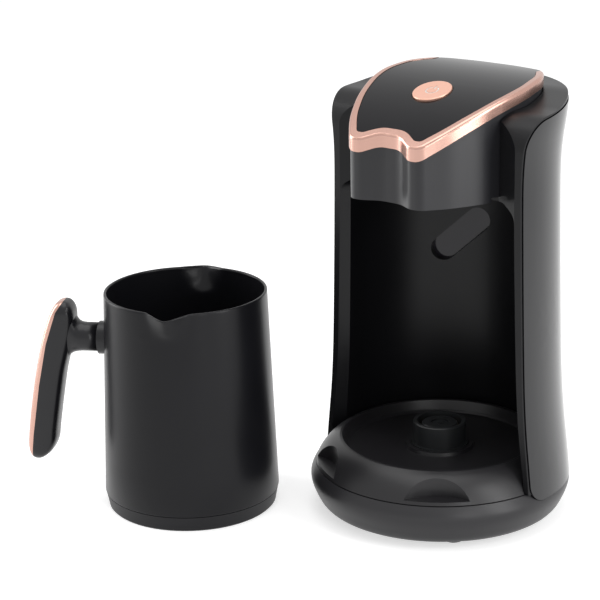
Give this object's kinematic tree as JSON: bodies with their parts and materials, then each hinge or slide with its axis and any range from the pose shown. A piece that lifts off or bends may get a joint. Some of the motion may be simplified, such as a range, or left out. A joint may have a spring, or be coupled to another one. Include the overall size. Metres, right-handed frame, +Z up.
{
  "type": "electric turkish coffee maker",
  "caption": "Round base with a cordless connector, a C-shaped column with a sloping control head, and a separate heated pot with a side handle standing beside it.",
  "frame": {"origin": "middle of the pair's footprint on the worktop, at the underside of the feet", "axes": "+Z up, the front of the machine towards -Y, the pot to the left of and in front of the machine, towards -X and -Y"},
  "size_m": [0.2642, 0.2057, 0.2361],
  "materials": {
    "base_black": "fine satin moulding",
    "tray_black": "satin moulding",
    "frame_black": "satin moulding",
    "skin_gloss": "high gloss",
    "head_black": "satin moulding",
    "plate_gloss": "high gloss",
    "rose_metal": "satin rose metallic",
    "rose_button": "satin rose metallic",
    "connector_black": "satin moulding",
    "pot_coating": "satin heat-proof coating",
    "pot_ring_black": "satin moulding",
    "handle_black": "soft gloss",
    "rubber_black": "matt",
    "steel": "plain",
    "brass": "plain",
    "heater_metal": "plain",
    "board_green": "solder mask",
    "electronics": "moulded cases",
    "switch_white": "plain",
    "window_smoked": "polished",
    "wire_red": "silicone insulation"
  },
  "bodies": {
    "machine": {"base_housing": "base_black", "base_plate": "base_black", "rubber_feet": "rubber_black", "base_screws": "steel", "well_tray": "tray_black", "connector_base": "connector_black", "connector_contacts": "brass", "connector_seal": "rubber_black", "plunger_spring": "steel", "connector_screws": "steel", "connector_leads": "wire_red", "column_frame": "frame_black", "column_skin": "skin_gloss", "column_screws": "steel", "head_housing": "head_black", "head_underside": "head_black", "head_screws": "steel", "trim_ring": "rose_metal", "top_plate": "plate_gloss", "button_spring": "steel", "button_switch": "electronics", "button_board": "board_green", "buzzer": "electronics", "board_screws": "steel", "sensor_window": "window_smoked", "sensor_board": "board_green", "main_board": "board_green", "power_parts": "electronics", "wiring_loom": "wire_red", "cord_gland": "rubber_black"},
    "power_button": {"power_button": "rose_button"},
    "switch_plunger": {"switch_plunger": "switch_white"},
    "connector_plunger": {"connector_plunger": "connector_black"},
    "pot": {"pot_body": "pot_coating", "pot_base_ring": "pot_ring_black", "pot_bottom_cover": "base_black", "pot_screws": "steel", "pot_seal": "rubber_black", "pot_connector": "connector_black", "pot_contact_ring": "brass", "pot_heater": "heater_metal", "pot_thermostat": "electronics", "pot_leads": "wire_red", "handle_collar": "handle_black", "handle_grip": "handle_black", "handle_trim": "rose_metal", "handle_screw": "steel"}
  },
  "joints": [
    {"name": "power_button_press", "type": "slide", "parent": "machine", "child": "power_button", "axis": [0, 0.2933, -0.956], "range_m": [0, 0.0008], "stiffness_N_per_m": 1500, "springref_m": -0.0006, "deforming": ["button_spring"]},
    {"name": "switch_plunger_press", "type": "slide", "parent": "machine", "child": "switch_plunger", "axis": [0, 0.2933, -0.956], "range_m": [0, 0.0008]},
    {"name": "connector_plunger_press", "type": "slide", "parent": "machine", "child": "connector_plunger", "axis": [0, 0, -1], "range_m": [0, 0.0035], "stiffness_N_per_m": 400, "springref_m": -0.002, "deforming": ["plunger_spring"]},
    {"name": "pot_lift", "type": "slide", "parent": "machine", "child": "pot", "axis": [0, 0, 1], "range_m": [0, 0.13]}
  ],
  "couplings": [
    {"joint": "switch_plunger_press", "follows": "power_button_press", "ratio": 1}
  ]
}
